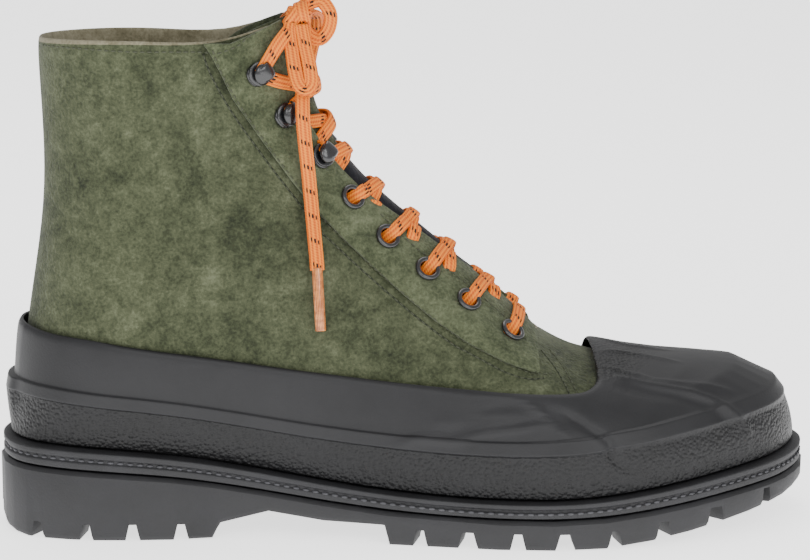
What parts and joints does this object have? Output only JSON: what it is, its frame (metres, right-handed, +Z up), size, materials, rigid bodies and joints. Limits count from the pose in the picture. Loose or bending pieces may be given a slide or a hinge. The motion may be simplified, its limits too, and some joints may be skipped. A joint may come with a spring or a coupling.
{
  "type": "hiking boot",
  "caption": "Ankle-high hiking boot with a suede upper, moulded rubber shell, lugged outsole, eyelets, speed hooks and a tied braided lace.",
  "frame": {"origin": "on the ground under the middle of the outsole", "axes": "+X towards the toe, +Y towards the medial (inner) side, +Z up"},
  "size_m": [0.305, 0.1065, 0.197],
  "materials": {
    "outsole_rubber": "matt black rubber",
    "midsole_rubber": "matt black rubber",
    "shell_rubber": "satin black rubber",
    "insole_fabric": "dark textile",
    "suede": "olive suede with a short nap",
    "tongue_suede": "dark suede",
    "black_enamel": "glossy black enamel",
    "lace": "orange braid with black flecks",
    "aglet": "clear orange tip"
  },
  "bodies": {
    "root": {"outsole": "outsole_rubber", "midsole": "midsole_rubber", "insole": "insole_fabric", "upper": "suede", "rubber_shell": "shell_rubber", "facing_lateral": "suede", "facing_medial": "suede", "tongue": "tongue_suede", "eyelet_lateral_1": "black_enamel", "eyelet_lateral_2": "black_enamel", "eyelet_lateral_3": "black_enamel", "eyelet_lateral_4": "black_enamel", "eyelet_lateral_5": "black_enamel", "eyelet_medial_1": "black_enamel", "eyelet_medial_2": "black_enamel", "eyelet_medial_3": "black_enamel", "eyelet_medial_4": "black_enamel", "eyelet_medial_5": "black_enamel", "hook_lateral_1": "black_enamel", "hook_lateral_2": "black_enamel", "hook_lateral_3": "black_enamel", "hook_medial_1": "black_enamel", "hook_medial_2": "black_enamel", "hook_medial_3": "black_enamel", "lace_bar_bottom": "lace", "lace_crossing_1": "lace", "lace_crossing_2": "lace", "lace_crossing_3": "lace", "lace_crossing_4": "lace", "lace_crossing_5": "lace", "lace_crossing_6": "lace", "lace_crossing_7": "lace", "lace_bar_top": "lace", "lace_knot": "lace", "lace_loop_ring": "lace", "lace_loop_front": "lace", "lace_end_lateral": "lace", "lace_end_medial": "lace", "aglet_lateral": "aglet", "aglet_medial": "aglet"}
  },
  "joints": []
}
